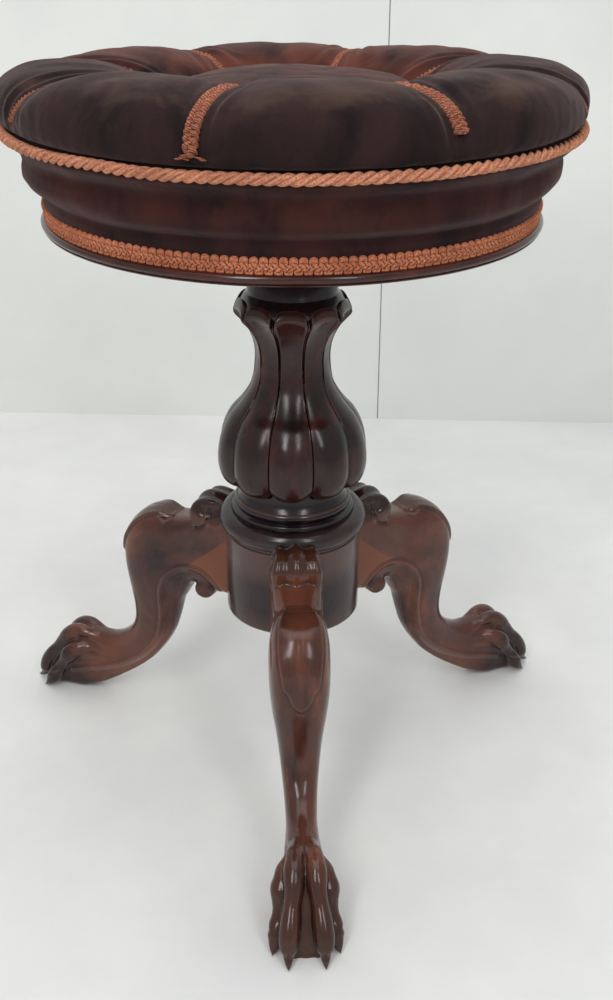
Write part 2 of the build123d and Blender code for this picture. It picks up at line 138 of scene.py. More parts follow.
def closeUp(bm):
    # welds the seams, fills the ends and turns the faces outwards
    weld(bm, 0.002)
    bmesh.ops.dissolve_degenerate(bm, edges=bm.edges, dist=0.0005)
    rims = [edge for edge in bm.edges if edge.is_boundary]
    if rims:
        bmesh.ops.holes_fill(bm, edges=rims, sides=0)
    bmesh.ops.recalc_face_normals(bm, faces=bm.faces)


def tube(bm, path, across, along):
    # round limb along (x, y, z, radius) stations
    def place(u, v):
        x, y, z, radius = through(path, v)
        ahead, behind = through(path, v + 0.01), through(path, v - 0.01)
        heading = Vector(ahead[:3]) - Vector(behind[:3])
        side = Vector((0, 0, 1)).cross(heading)
        side = side.normalized() if side.length > 1e-6 else Vector((0, 1, 0))
        up = heading.cross(side).normalized()
        a = math.tau * u
        return Vector((x, y, z)) + radius * (math.cos(a) * side + math.sin(a) * up)

    wrapGrid(bm, across, along, place)


def meshObject(bm, name):
    # millimetres become metres here
    bmesh.ops.scale(bm, vec=(mm, mm, mm), verts=bm.verts)
    mesh = bpy.data.meshes.new(name)
    bm.to_mesh(mesh)
    bm.free()
    piece = bpy.data.objects.new(name, mesh)
    scene.collection.objects.link(piece)
    return piece


def lathe(name, profile, steps=128):
    bm = bmesh.new()
    spinProfile(bm, profile, steps)
    closeUp(bm)
    return meshObject(bm, name)


def atRadius(point, radius, height):
    # the point at its own turn, moved to this radius and height
    return (point.xy.normalized() * radius).to_3d() + Vector((0, 0, height))


def pullEdges(bm, edges, move):
    # extrudes open edges and lays each new point at move(point)
    made = bmesh.ops.extrude_edge_only(bm, edges=edges)["geom"]
    edges = [e for e in made if isinstance(e, bmesh.types.BMEdge)]
    for vert in {v for e in edges for v in e.verts}:
        vert.co = move(vert.co)
    return edges


def soften(bm):
    bmesh.ops.smooth_vert(
        bm, verts=bm.verts, factor=0.5, use_axis_x=True, use_axis_y=True, use_axis_z=True
    )


def dress(piece, body, material, nodes, sharp):
    # sharp is the angle over which an edge is not shaded smooth, 0 for none
    mesh = piece.data
    mesh.materials.clear()
    mesh.materials.append(material)
    mesh.shade_smooth()
    if sharp:
        mesh.set_sharp_from_angle(angle=math.radians(sharp))
    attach(piece, body)
    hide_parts(*nodes)


def bake(piece):
    # what the modifiers make becomes the mesh
    graph = bpy.context.evaluated_depsgraph_get()
    made = bpy.data.meshes.new_from_object(piece.evaluated_get(graph), depsgraph=graph)
    old = piece.data
    piece.modifiers.clear()
    piece.data = made
    bpy.data.meshes.remove(old)


def storeFloats(piece, name, values):
    layer = piece.data.attributes.new(name, "FLOAT", "POINT")
    layer.data.foreach_set("value", values)


def markCavities(piece, rounds, gain, spread=2):
    # stores how hollow (positive) or edged (negative) the surface is, for painted shade in the hollows and
    # wear on the edges
    bm = bmesh.new()
    bm.from_mesh(piece.data)
    bm.normal_update()
    bm.verts.index_update()
    near = [[edge.other_vert(vert).index for edge in vert.link_edges] for vert in bm.verts]
    places = [vert.co.copy() for vert in bm.verts]
    for _ in range(rounds):
        places = [
            sum((places[k] for k in ring), Vector()) / len(ring) if ring else places[i]
            for i, ring in enumerate(near)
        ]
    depth = [(places[vert.index] - vert.co).dot(vert.normal) / mm * gain for vert in bm.verts]
    for _ in range(spread):
        depth = [(depth[i] + sum(depth[k] for k in ring)) / (1 + len(ring)) for i, ring in enumerate(near)]
    bm.free()
    storeFloats(piece, "cavity", [clamp(value, -1, 1) for value in depth])


# materials
def tint(text):
    # sRGB hex to linear
    parts = [int(text[i : i + 2], 16) / 255 for i in (0, 2, 4)]
    return tuple(c / 12.92 if c < 0.04045 else ((c + 0.055) / 1.055) ** 2.4 for c in parts) + (1.0,)


def feed(tree, socket, value):
    # joins the output of another node, or sets a constant
    if isinstance(value, bpy.types.NodeSocket):
        tree.links.new(value, socket)
    else:
        socket.default_value = value


def setShader(tree, shader, **sockets):
    for name, value in sockets.items():
        feed(tree, shader.inputs[name.replace("_", " ")], value)


def node(tree, kind, settings=None, **sockets):
    made = tree.nodes.new("ShaderNode" + kind)
    for name, value in (settings or {}).items():
        setattr(made, name, value)
    setShader(tree, made, **sockets)
    return made


def newMaterial(name):
    material = bpy.data.materials.new(name)
    material.use_nodes = True
    tree = material.node_tree
    return material, tree, tree.nodes["Principled BSDF"]


def mapped(tree, source="Object", scale=(1, 1, 1), turn=(0, 0, 0)):
    place = node(tree, "TexCoord").outputs[source]
    turned = node(tree, "Mapping", {"vector_type": "POINT"}, Vector=place, Rotation=turn)
    return node(tree, "Mapping", Vector=turned.outputs["Vector"], Scale=scale).outputs["Vector"]


def noiseAt(tree, vector, scale, detail=4.0, rough=0.55, warp=0.0):
    return node(
        tree, "TexNoise", Vector=vector, Scale=scale, Detail=detail, Roughness=rough, Distortion=warp
    ).outputs["Fac"]


def ramp(tree, value, *stops):
    # each stop is a position and a hex colour
    made = node(tree, "ValToRGB", Fac=value)
    band = made.color_ramp.elements
    for end in (0, -1):
        band[end].position, band[end].color = stops[end][0], tint(stops[end][1])
    for position, colour in stops[1:-1]:
        band.new(position).color = tint(colour)
    return made.outputs["Color"]


def maths(tree, a, b, operation="ADD"):
    made = node(tree, "Math", {"operation": operation})
    feed(tree, made.inputs[0], a)
    feed(tree, made.inputs[1], b)
    return made.outputs["Value"]


def spanned(tree, value, low, high, first=0.0, last=1.0):
    return node(
        tree, "MapRange", Value=value, From_Min=low, From_Max=high, To_Min=first, To_Max=last
    ).outputs["Result"]


def blendColour(tree, factor, a, b):
    made = node(tree, "Mix", {"data_type": "RGBA"})
    # a Mix node's sockets for its factor and its two colours
    for index, value in ((0, factor), (6, a), (7, b)):
        feed(tree, made.inputs[index], value)
    return made.outputs[2]


def stored(tree, name):
    # a value kept at the mesh's points
    return node(tree, "Attribute", {"attribute_name": name}).outputs["Fac"]


def bumped(tree, *layers):
    # each layer is (height, strength, distance)
    normal = None
    for height, strength, distance in layers:
        made = node(tree, "Bump", Height=height, Strength=strength, Distance=distance)
        if normal:
            tree.links.new(normal, made.inputs["Normal"])
        normal = made.outputs["Normal"]
    return normal


def polishedWood(
    name, dark, middle, light, turn=0.0, grain=(26, 26, 2.2), gloss=0.2, patch=0.5, shading=0.0
):
    # rosewood: long streaks, cloudy figure, dark stain, painted shade in the hollows, rubbed edges
    material, tree, shader = newMaterial(name)
    flow = mapped(tree, scale=grain, turn=(0, 0, math.radians(-turn)))
    plain = mapped(tree, turn=(0, 0, math.radians(-turn)))
    streaks = noiseAt(tree, flow, 3.2, 9.0, 0.62, 0.35)
    pores = noiseAt(tree, flow, 26.0, 5.0, 0.7)
    clouds = noiseAt(tree, plain, 14.0, 3.0, 0.55, 0.6)
    body = ramp(tree, streaks, (0.30, dark), (0.52, middle), (0.74, light))
    cloudy = blendColour(tree, spanned(tree, clouds, 0.42, 0.68, 0.0, patch), body, tint(light))
    fine = blendColour(tree, spanned(tree, pores, 0.58, 0.78, 0.0, 0.45), cloudy, tint(dark))
    cavity = stored(tree, "cavity")
    patches = stored(tree, "patch")
    pale = blendColour(tree, patches, fine, tint("7d4227"))
    shade = stored(tree, "shade")
    stained = blendColour(tree, maths(tree, shade, shading, "MULTIPLY"), pale, tint("130a0a"))
    # painted shade: the hollows darken towards near-black
    hollow = blendColour(tree, spanned(tree, cavity, 0.05, 0.55, 0.0, 0.85), stained, tint("0c0606"))
    rubbed = blendColour(tree, spanned(tree, cavity, -0.2, -0.8, 0.0, 0.16), hollow, tint("b08a78"))
    rough = spanned(tree, noiseAt(tree, plain, 60.0, 4.0), 0.3, 0.7, gloss * 0.75, gloss * 1.35)
    setShader(
        tree, shader, Base_Color=rubbed, Roughness=rough, Specular_IOR_Level=0.42,
        Normal=bumped(tree, (pores, 0.12, 0.0004), (noiseAt(tree, plain, 45.0, 3.0), 0.10, 0.001)),
    )
    return material


def velvet(name, dark, middle, worn, paintedSheenAndTone):
    # short pile: deep colour, painted sheen that is lighter and redder where the pile leans, rubbed bald
    # patches
    material, tree, shader = newMaterial(name)
    plain = mapped(tree)
    brushed = mapped(tree, scale=(1.0, 1.0, 0.45))
    clouds = noiseAt(tree, brushed, 16.0, 5.0, 0.6, 1.2)
    strokes = noiseAt(tree, brushed, 70.0, 6.0, 0.66, 0.8)
    pile = noiseAt(tree, plain, 1500.0, 3.0, 0.7)
    rub = stored(tree, "rub")
    paintedSheenAndToneMask = stored(tree, "paintedSheenAndTone")
    body = ramp(tree, clouds, (0.34, dark), (0.66, middle))
    # painted sheen: a lighter red blended in where the stored mask is high
    warm = blendColour(tree, paintedSheenAndToneMask, body, ramp(tree, clouds, (0.3, dark), (0.62, paintedSheenAndTone)))
    wearing = maths(tree, rub, spanned(tree, strokes, 0.35, 0.72, -0.18, 0.32))
    old = blendColour(tree, spanned(tree, wearing, 0.25, 0.95, 0.0, 0.85), warm, tint(worn))
    speck = blendColour(tree, spanned(tree, pile, 0.35, 0.75, 0.0, 0.35), old, tint(dark))
    setShader(
        tree, shader, Base_Color=speck, Roughness=0.95, Specular_IOR_Level=0.12, Sheen_Weight=0.55,
        Sheen_Roughness=0.32, Sheen_Tint=tint("a89694"),
        Normal=bumped(tree, (pile, 0.5, 0.0006), (strokes, 0.28, 0.0016), (clouds, 0.2, 0.004)),
    )
    return material


def yarn(name, dark, middle, light, turns, lines, strand=1.0):
    # twisted fibres that run along each strand by its own UV
    material, tree, shader = newMaterial(name)
    split = node(tree, "SeparateXYZ", Vector=mapped(tree, "UV"))
    lay = maths(tree, split.outputs["X"], maths(tree, split.outputs["Y"], turns, "MULTIPLY"))
    fibre = maths(tree, maths(tree, lay, math.tau * lines, "MULTIPLY"), 0.0, "SINE")
    plain = mapped(tree)
    fluff = noiseAt(tree, plain, 900.0, 5.0, 0.7)
    patches = noiseAt(tree, plain, 45.0, 3.0)
    mixed = maths(tree, maths(tree, fibre, 0.13 * strand, "MULTIPLY"), fluff)
    body = ramp(tree, mixed, (0.28, dark), (0.5, middle), (0.74, light))
    dusty = blendColour(tree, spanned(tree, patches, 0.35, 0.7, 0.0, 0.4), body, tint(dark))
    cavity = stored(tree, "cavity")
    # painted shade: the hollows darken, where a cavity value is stored (the gimp)
    hollow = blendColour(tree, spanned(tree, cavity, 0.0, 0.6, 0.0, 0.85), dusty, tint("2a0f0a"))
    setShader(
        tree, shader, Base_Color=hollow, Roughness=0.88, Specular_IOR_Level=0.2, Sheen_Weight=0.25,
        Sheen_Roughness=0.5, Sheen_Tint=tint("e0b090"),
        Normal=bumped(tree, (fibre, 0.5 * strand, 0.0006), (fluff, 0.6, 0.0008)),
    )
    return material


def metal(name, dark, light, rough, metallic, rust):
    material, tree, shader = newMaterial(name)
    plain = mapped(tree)
    scratches = mapped(tree, scale=(1, 1, 9))
    blotches = noiseAt(tree, plain, 120.0, 6.0, 0.65)
    turned = noiseAt(tree, scratches, 160.0, 4.0)
    body = ramp(tree, turned, (0.3, dark), (0.7, light))
    rusty = blendColour(tree, spanned(tree, blotches, 0.55, 0.72, 0.0, rust), body, tint("4a2a1c"))
    setShader(
        tree, shader, Base_Color=rusty, Metallic=metallic,
        Roughness=spanned(tree, blotches, 0.3, 0.7, rough * 0.75, rough * 1.3),
        Normal=bumped(tree, (blotches, 0.25, 0.0006), (turned, 0.15, 0.0002)),
    )
    return material


finishes = dict(
    column=polishedWood("columnPolish", "0a0606", "1f0e0d", "4a1d16", grain=(20, 20, 2.0), gloss=0.22),
    base=polishedWood("basePolish", "0b0609", "1a0e14", "2b181a", grain=(16, 16, 3.0), gloss=0.2, patch=0.3),
    rim=polishedWood("rimPolish", "1c0c0a", "3a1a14", "57291c", grain=(4, 20, 20), gloss=0.17, patch=0.3),
    raw=polishedWood("rawDeal", "5b4028", "8b6844", "a98860", grain=(3, 26, 26), gloss=0.7, patch=0.4),
    seatVelvet=velvet("seatVelvet", "151013", "2a2021", "4e3b31", "63352a"),
    borderVelvet=velvet("borderVelvet", "1b1316", "352222", "4a302c", "47251f"),
    rope=yarn("ropeYarn", "7a4434", "c48062", "e4b090", -40.0, 3, 0.35),
    cord=yarn("cordYarn", "5e2f22", "9c5a45", "c98a6c", 30.0, 3),
    gimp=yarn("gimpYarn", "7c3a26", "bf6f4e", "e4ad88", 0.0, 1, 0.0),
    iron=metal("castIron", "191716", "2c2927", 0.55, 0.8, 0.6),
    steel=metal("oldSteel", "55504a", "8d8780", 0.36, 1.0, 0.45),
)
print("materials made")

# turned base block
turning = dict(
    drum=49.7, bottom=133.0, top=201.0, torus=54.5, bead=8.2, fillet=44.8, cove=42.0, astragal=42.9,
    small=3.9, crown=228.0, socket=17.0, socketFloor=190.0,
)


def makeBase():
    t = turning
    torusZ, quirkZ = t["top"] + t["bead"], t["top"] + 2 * t["bead"]
    astragalZ = quirkZ + 3.1 + t["small"]
    profile = [(0, t["bottom"]), (30, t["bottom"]), (31, t["bottom"] + 0.8), (33, t["bottom"])]
    profile += roundBead(t["drum"] - 3.0, t["bottom"] + 3.0, 3.0, 6, -90, 0)
    profile += [(t["drum"], z) for z in (150, 170, 190, t["top"] - 2.4)]
    profile += [(t["drum"] - 1.2, t["top"] - 1.6), (t["drum"] - 1.2, t["top"] - 0.2)]
    profile += roundBead(t["torus"] - t["bead"], torusZ, t["bead"], 18)
    profile += [(t["fillet"] + 0.2, quirkZ - 0.3), (t["fillet"], quirkZ + 0.3), (t["fillet"], quirkZ + 1.6)]
    # shallow cove between the fillet and the small bead
    profile += [(t["fillet"] - 0.6, quirkZ + 2.2), (t["cove"] + 0.6, quirkZ + 2.5)]
    profile += [(t["cove"], quirkZ + 3.2)]
    profile += roundBead(t["astragal"] - t["small"], astragalZ, t["small"], 12, -62, 45)
    profile += [(40.6, t["crown"] - 0.6), (36.0, t["crown"]), (t["socket"], t["crown"])]
    profile += [(t["socket"], t["socketFloor"]), (0, t["socketFloor"])]
    piece = lathe("baseTurning", profile, 160)
    markCavities(piece, 4, 1.0)
    dress(piece, "base", finishes["base"], ["base_block"], 50)


makeBase()
print("base turned")

# carved column
carving = dict(
    petals=10, firstPetal=-94.8, foot=238.2, top=376.6, notch=3.2, bore=17.0, socket=362.0, under=236.0,
    # height, radius of the outline
    outline=[
        (238.2, 42.0), (239.6, 45.6), (242, 49.2), (245.5, 52.0), (252, 54.2), (260, 55.0), (268, 54.3),
        (276, 52.6), (284, 49.6), (292, 44.9), (299, 38.6), (307, 32.9), (314, 29.2), (322, 27.0),
        (331, 26.2), (337, 26.3), (344, 27.4), (351, 29.8), (358, 33.2), (363.5, 37.0), (367.5, 40.0),
        (370, 41.0), (372, 40.5), (374.4, 39.4), (376.6, 38.0),
    ],
    # height, how far the middle of a petal stands past its edges
    swell=[
        (236.9, 4.2), (260, 4.2), (285, 2.8), (305, 0.9), (325, -0.3), (345, -1.2), (365, -2.0),
        (376.4, -1.4),
    ],
    # height, depth of the reed between two petals
    sink=[(236.9, 1.2), (260, 1.2), (300, 1.3), (330, 1.4), (360, 1.6), (376.4, 1.8)],
    # radius, height of the turned cap behind the tips with its collar, and of the plain neck under the bulb
    cap=[
        (34.0, 362.5), (36.6, 368.0), (38.0, 371.0), (37.8, 372.6), (32.6, 379.4), (31.9, 380.0),
        (31.4, 380.8), (31.2, 391.1), (30.6, 391.7), (16.6, 391.7), (16.6, 367.0), (14.0, 366.6),
        (14.0, 362.5),
    ],
    neck=[
        (0, 227.0), (40.6, 227.0), (39.6, 228.4), (38.2, 230.6), (37.3, 233.6), (37.0, 242.0), (0, 242.0),
    ],
)


def columnPoint(turn, height):
    c = carving
    pitch = 360 / c["petals"]
    away = abs(((turn - c["firstPetal"] + pitch / 2) % pitch) - pitch / 2) / (pitch / 2)
    radius, swell, sink = (follow(c[key], height) for key in ("outline", "swell", "sink"))
    # the reed between two petals closes to a thin valley on the bulb
    edge = 0.98 - 0.1 * ease(290, 345, height)
    if away <= edge:
        across = away / edge
        depth = swell * across**2.2 if swell > 0 else -swell * (1 - across**2.0)
        lip = 0.45 * hill(away - edge + 0.025, 0.025)
        radius += lip - depth
    else:
        # narrow reed sunk between two petals
        across = (away - edge) / (1 - edge)
        radius -= max(swell, 0) + sink * ease(0.0, 0.28, across)
        radius += 1.1 * ease(0.35, 1.0, across)
    # petals end rounded at the bulb's foot and part in V notches at their tips
    rise = 4.6 * away**3 * (1 - ease(238, 254, height))
    tipShape = c["notch"] * ease(edge - 0.08, edge + 0.03, away) + 2.6 * min(1, away / edge) ** 2.6
    height += rise - tipShape * ease(344, c["top"], height)
    return around(radius, turn, height)


def makeColumn():
    c = carving
    rows, sides = 130, 400
    tall = c["top"] - c["foot"]
    bm = bmesh.new()
    wrapGrid(bm, sides, rows, lambda u, v: columnPoint(360 * u, c["foot"] + tall * v))
    weld(bm)
    # lip over the tips and down behind them, and the underside down to the neck and socket
    loops = {}
    for edge in [e for e in bm.edges if e.is_boundary]:
        key = "tips" if edge.verts[0].co.z > c["foot"] + tall / 2 else "foot"
        loops.setdefault(key, []).append(edge)

    def pull(edges, places):
        # each place is a shift of the radius, a shift of the height and a radius to go to, or 0
        for shift, rise, fixed in places:
            edges = pullEdges(bm, edges, lambda p: atRadius(p, fixed or p.xy.length + shift, p.z + rise))
        return edges

    def level(edges, height):
        for vert in {v for e in edges for v in e.verts}:
            vert.co.z = height

    inside = pull(loops["tips"], [(-0.5, 0.1, 0), (-0.7, -0.5, 0), (-0.8, -2.2, 0), (0, -7.0, 32.0)])
    level(inside, c["socket"])
    # the bore that the screw's stop rises in, open at both ends
    inside = pull(inside, [(0, 0, c["bore"])] * 2)
    under = pull(loops["foot"], [(-2.2, -1.6, 0), (0, -0.4, 38.5), (0, -0.2, 36.0), (0, 0, c["bore"])])
    level(inside + under, c["under"])
    closeUp(bm)
    piece = meshObject(bm, "carvedColumn")
    markCavities(piece, 4, 1.0, 0)
    dress(piece, "base", finishes["column"], ["column"], 60)
    # the cap, deep in the seat's shadow, takes the darker base polish as painted shade; the neck under the
    # bulb takes it too
    for name, key in (("columnCap", "cap"), ("columnNeck", "neck")):
        dress(lathe(name, c[key]), "base", finishes["base"], ["column"], 45)


makeColumn()
print("column carved")

# cabriole legs
legShape = dict(
    # angle, the node that the leg stands for, and how dark the stain in its carving is
    legs={
        "legFront": (-90.9, "leg_front", 0.62), "legRight": (30.0, "leg_right", 0.82),
        "legLeft": (150.0, "leg_left", 0.82),
    },
    # x and z of the leaf roll's middle and of the scroll's
    roll=(66.5, 198.6), scroll=(70.5, 133.0),
    # outer edge r, z; inner edge r, z; width; roundness of the front and of the back
    stations=[
        (44, 197, 44, 133, 36.5, 6.0, 5.0),
        (60, 196, 58, 133, 37, 5.5, 4.5),
        (76, 194, 72, 134, 37, 5.0, 4.2),
        (90, 190, 81, 134, 36, 4.2, 3.6),
        (101, 188, 86, 131, 36.5, 3.6, 3.0),
        (113, 190.5, 89, 126, 39.5, 3.4, 2.6),
        (126, 186.8, 92, 121, 42, 3.3, 2.4),
        (137, 177, 94.5, 116.5, 42.2, 3.2, 2.3),
        (144, 163, 97, 112.5, 41.5, 3.1, 2.2),
        (145.8, 148, 99, 108.5, 40, 3.0, 2.2),
        (144.6, 132, 100.5, 103, 37.5, 3.0, 2.2),
        (142.6, 115, 102, 97, 34, 2.9, 2.2),
        (141.3, 101, 104, 90, 31, 2.8, 2.2),
        (141.8, 89, 107.5, 79.5, 28.6, 2.7, 2.2),
        (145, 79, 113.5, 68, 26.2, 2.6, 2.2),
        (151, 71, 121.5, 56.5, 24, 2.5, 2.2),
        (160, 64, 131, 45, 22.4, 2.5, 2.2),
        (170, 59.6, 143, 34, 21.8, 2.5, 2.2),
        (180, 58.6, 160, 21, 24.5, 2.5, 2.3),
        (191, 59.0, 180, 8, 28.5, 2.4, 2.6),
        (202, 56.5, 198, 0.5, 32.0, 2.3, 3.0),
        (210, 49, 210, -0.5, 34, 2.3, 3.0),
        (221, 33, 221, -0.5, 36, 2.3, 3.0),
        (231, 11, 232, -0.5, 29, 2.3, 3.0),
    ],
    # toes as x, y, z, radius
    innerToe=[
        (162, 3.0, 50, 0.1), (174, 3.8, 52.5, 3.4), (186, 5.0, 54.0, 4.8), (196, 6.2, 55.3, 6.4),
        (204, 6.9, 53.4, 7.3), (211, 7.5, 48.4, 7.1), (216.5, 8.2, 41.8, 6.0), (221.5, 9.4, 34.6, 5.6),
        (227, 10.5, 27.2, 6.6), (231.5, 11.4, 19.5, 7.0), (234.4, 11.8, 11.5, 6.2), (236.8, 12.0, 6.2, 3.6),
        (241.6, 12.1, 2.7, 1.8), (245.2, 12.1, 0.8, 0.1),
    ],
    outerToe=[
        (168, 5.0, 39, 0.1), (179, 7.5, 42, 3.6), (190, 10.6, 43.6, 5.2), (199, 13.8, 41.8, 7.0),
        (206, 15.6, 35.6, 7.6), (211, 16.4, 28.4, 5.6), (214.6, 17.2, 22.6, 5.0), (218, 18.4, 16.6, 6.2),
        (221.5, 19.6, 10.6, 6.2), (224.5, 20.6, 6.0, 4.4), (228, 21.8, 2.6, 2.0), (231, 22.8, 0.6, 0.1),
    ],
    # thin bead on the side faces, r and z
    beadLine=[
        (54, 131), (57, 137), (62, 144.5), (69, 150), (78, 152), (88, 150.4), (97, 145.6), (104.5, 136.5),
        (109.6, 124), (111, 108), (113.2, 93), (118, 76), (127, 61.5), (139, 49.5), (153, 39.5), (170, 31.5),
        (188, 26), (205, 21),
    ],
    slit=[(63.0, 205.0), (62.6, 198.0), (65.2, 191.6), (70.0, 188.0), (75.5, 187.0)],
    # length along the outer line from the neck, reach of the knee leaf round the section
    leaf=[
        (0, 8.0), (8, 10.5), (16, 13.0), (26, 16.5), (36, 18.5), (46, 19.0), (54, 18.5), (62, 17.0),
        (70, 15.5), (76, 14.0), (80, 10.0), (86, 7.4), (91, 4.4), (95, 0.0),
    ],
    voxel=0.00095,
)


def legBody(bm):
    def place(u, v):
        outR, outZ, inR, inZ, width, front, back = through(legShape["stations"], v)
        outer, inner = Vector((outR, 0, outZ)), Vector((inR, 0, inZ))
        a = math.tau * u
        c, s = math.cos(a), math.sin(a)
        power = 2 / (front if c > 0 else back)
        along = signedPower(c, power)
        side = signedPower(s, power)
        return (outer + inner) / 2 + (outer - inner) / 2 * along + Vector((0, side * width / 2, 0))

    wrapGrid(bm, 96, 150, place)


def leafRoll(bm):
    # leaf that curls over at the top of the leg, domed, in three flutes, narrower at the top
    x, z = legShape["roll"]

    def place(u, v):
        side = 2 * v - 1
        flute = 1.3 * math.cos(math.tau * side / 0.86) * (1 - side**8)
        end = (1 - abs(side) ** 9) ** 0.5
        a = math.tau * u
        c, s = math.cos(a), math.sin(a)
        long = (14.2 if c > 0 else 24.0) - 1.0 * side**2 + flute
        tall = 14.4 - 1.8 * side**2 + flute
        width = 19.2 - 2.6 * max(0.0, s) ** 2
        return Vector((x + long * end * c, side * width, z + tall * end * s))

    wrapGrid(bm, 96, 96, place)


def scroll(bm):
    # C scroll under the root
    x, z = legShape["scroll"]

    def place(u, v):
        side = 2 * v - 1
        end = (1 - abs(side) ** 8) ** 0.5
        a = math.tau * u
        radius = 7.8 * end
        return Vector((x + 1.05 * radius * math.cos(a), side * 18.9, z + radius * math.sin(a)))

    wrapGrid(bm, 36, 40, place)


def nearLine(line, x, z):
    # distance, signed side and length along a polyline of (r, z)
    run, found = 0.0, (1e9, 0.0, 0.0)
    point = Vector((x, z, 0))
    for (x0, z0), (x1, z1) in zip(line, line[1:]):
        start, end = Vector((x0, z0, 0)), Vector((x1, z1, 0))
        share = clamp(intersect_point_line(point, start, end)[1])
        gap = (point - start.lerp(end, share)).length
        length = (end - start).length
        if gap < found[0]:
            cross = (x1 - x0) * (z - z0) - (z1 - z0) * (x - x0)
            found = (gap, math.copysign(1, cross), run + share * length)
        run += length
    return found


def carveLeg(bm):
    # knee leaf, beads, hollows, curls and tendons, as a carver cuts them into the flat faces
    rollX, rollZ = legShape["roll"]
    outerLine = [through(legShape["stations"], 0.145 + 0.0085 * i)[:2] for i in range(56)]
    bead = [tuple(through(legShape["beadLine"], i / 60)) for i in range(61)]
    patch = bm.verts.layers.float.new("patch")
    shade = bm.verts.layers.float.new("shade")
    bm.normal_update()
    moves = []
    for vert in bm.verts:
        x, y, z = vert.co
        normal = vert.normal
        side = abs(normal.y)
        move = 0.0
        stain = max(ease(192, 202, z + 0.25 * (66 - x)), ease(184, 206, x + 0.4 * (30 - z)))
        if 98 < x < 150 and z > 95:
            gap, _, run = nearLine(outerLine, x, z)
            inside = follow(legShape["leaf"], run) - abs(y) - gap
            # the leaf starts with a round lip on the saddle
            if z > 150:
                inside = min(inside, (x - 99.5) * 1.6)
            if run < 97:
                # lip lower in the middle of the saddle than at its sides
                soft = 1 - 0.75 * hill(y, 10.0) * ease(158, 172, z) * (1 - ease(5.0, 16.0, inside))
                move += soft * 1.5 * ease(-0.5, 1.2, inside) * (1 - 0.35 * ease(2.0, 9.0, inside))
                move += soft * 0.6 * hill(inside - 1.6, 1.4) * (1 - 0.6 * ease(30, 90, run))
                move -= soft * 0.6 * hill(inside + 1.2, 1.0)
                # centre vein of the leaf
                move -= 0.25 * hill(y, 1.6) * ease(6, 12, inside)
                stain = max(stain, 0.45 * ease(-0.5, 1.5, inside) * (1 - 0.6 * ease(60, 95, run)))
        if side > 0.35 and x > 50:
            gap, hand, run = nearLine(bead, x, z)
            signed = gap * hand
            if gap < 22:
                fade = ease(0.35, 0.75, side) * (1 - ease(268, 300, run))
                move += fade * 0.95 * hill(gap, 1.15)
                move -= fade * 0.7 * hill(signed - 2.3, 1.2)
                # hollow between the bead and the back edge
                move -= fade * 1.7 * ease(1.2, 6.0, -signed) * (1 - ease(12, 21, -signed))
        if side > 0.5 and 52 < x < 100 and z > 166:
            # comma of the leaf curl: a slit that hooks under its end, and a shell hollow towards the drum
            fade = ease(0.5, 0.8, side)
            slit = nearLine(legShape["slit"], x, z)[0]
            move -= fade * 1.9 * hill(slit, 1.35)
            away = math.hypot(x - rollX, z - rollZ)
            move += fade * 0.6 * hill(away - 11.5, 3.0) * ease(58, 66, x)
            shell = math.hypot(x - 56.0, (z - 201.0) * 0.85)
            move -= fade * 2.2 * (1 - ease(3.5, 10.0, shell))
        if x > 172:
            # tendons fan out over the paw's sides, and the hair and claws end in ribs
            if side > 0.3 and z > 28 and x < 208:
                fan = math.atan2(z - 42, x - 148)
                ridges = (0.5 + 0.5 * math.cos(fan * 27)) ** 1.5 * ease(28, 34, z)
                move -= 1.0 * ease(0.3, 0.7, side) * ridges * ease(172, 184, x) * (1 - ease(198, 208, x))
            if z < 14 and x > 212:
                fan = math.atan2(abs(y) - (12 if abs(y) < 17 else 21.5), 20 - z)
                move -= 0.5 * (0.5 + 0.5 * math.cos(fan * 17)) * ease(212, 220, x) * (1 - ease(9, 14, z))
        # pale new wood beside the drum
        if side > 0.5 and x < 82:
            edgeLine = 185 - (x - 45) * 0.86
            under = nearLine(bead, x, z)
            pale = ease(-0.6, 0.6, edgeLine - z) * ease(0.5, 1.5, under[0] * under[1])
            vert[patch] = pale * ease(133, 136, z) * 0.62
        vert[shade] = stain
        moves.append(move)
    for vert, move in zip(bm.verts, moves):
        vert.co += vert.normal * move
        vert.co.z = max(vert.co.z, 0.0)


def makeLegs():
    bm = bmesh.new()
    legBody(bm)
    leafRoll(bm)
    scroll(bm)
    for mirror in (1, -1):
        for key in ("innerToe", "outerToe"):
            tube(bm, [(x, y * mirror, z, radius) for x, y, z, radius in legShape[key]], 20, 60)
    closeUp(bm)
    source = meshObject(bm, "legSource")
    skin = source.modifiers.new("skin", "REMESH")
    skin.mode = "VOXEL"
    skin.voxel_size = legShape["voxel"] * 1.0
    bake(source)
    bm = bmesh.new()
    bm.from_mesh(source.data)
    bpy.data.objects.remove(source)
    bmesh.ops.scale(bm, vec=(1 / mm, 1 / mm, 1 / mm), verts=bm.verts)
    soften(bm)
    soften(bm)
    carveLeg(bm)
    soften(bm)
    # the root is cut to the drum's round, a hair inside it
    root = turning["drum"] - 1.7
    for vert in bm.verts:
        flat = math.hypot(vert.co.x, vert.co.y)
        if flat < root:
            vert.co.xy *= root / flat
        vert.co.z = max(vert.co.z, 0.0)
    master = meshObject(bm, "legMaster")
    markCavities(master, 4, 1.5)
    for name, (angle, stands, darkness) in legShape["legs"].items():
        piece = bpy.data.objects.new(name, master.data.copy())
        scene.collection.objects.link(piece)
        piece.data.transform(Matrix.Rotation(math.radians(angle), 4, "Z"))
        wood = polishedWood(
            name + "Polish", "201210", "4b2a22", "76432f", angle, (5, 20, 5), 0.17, 0.55, darkness
        )
        dress(piece, "base", wood, [stands], 0)
    bpy.data.objects.remove(master)


makeLegs()
print("legs carved")

# seat board
board = dict(radius=165.0, bottom=418.2, rimFoot=429.8, top=437.2, block=122.0)


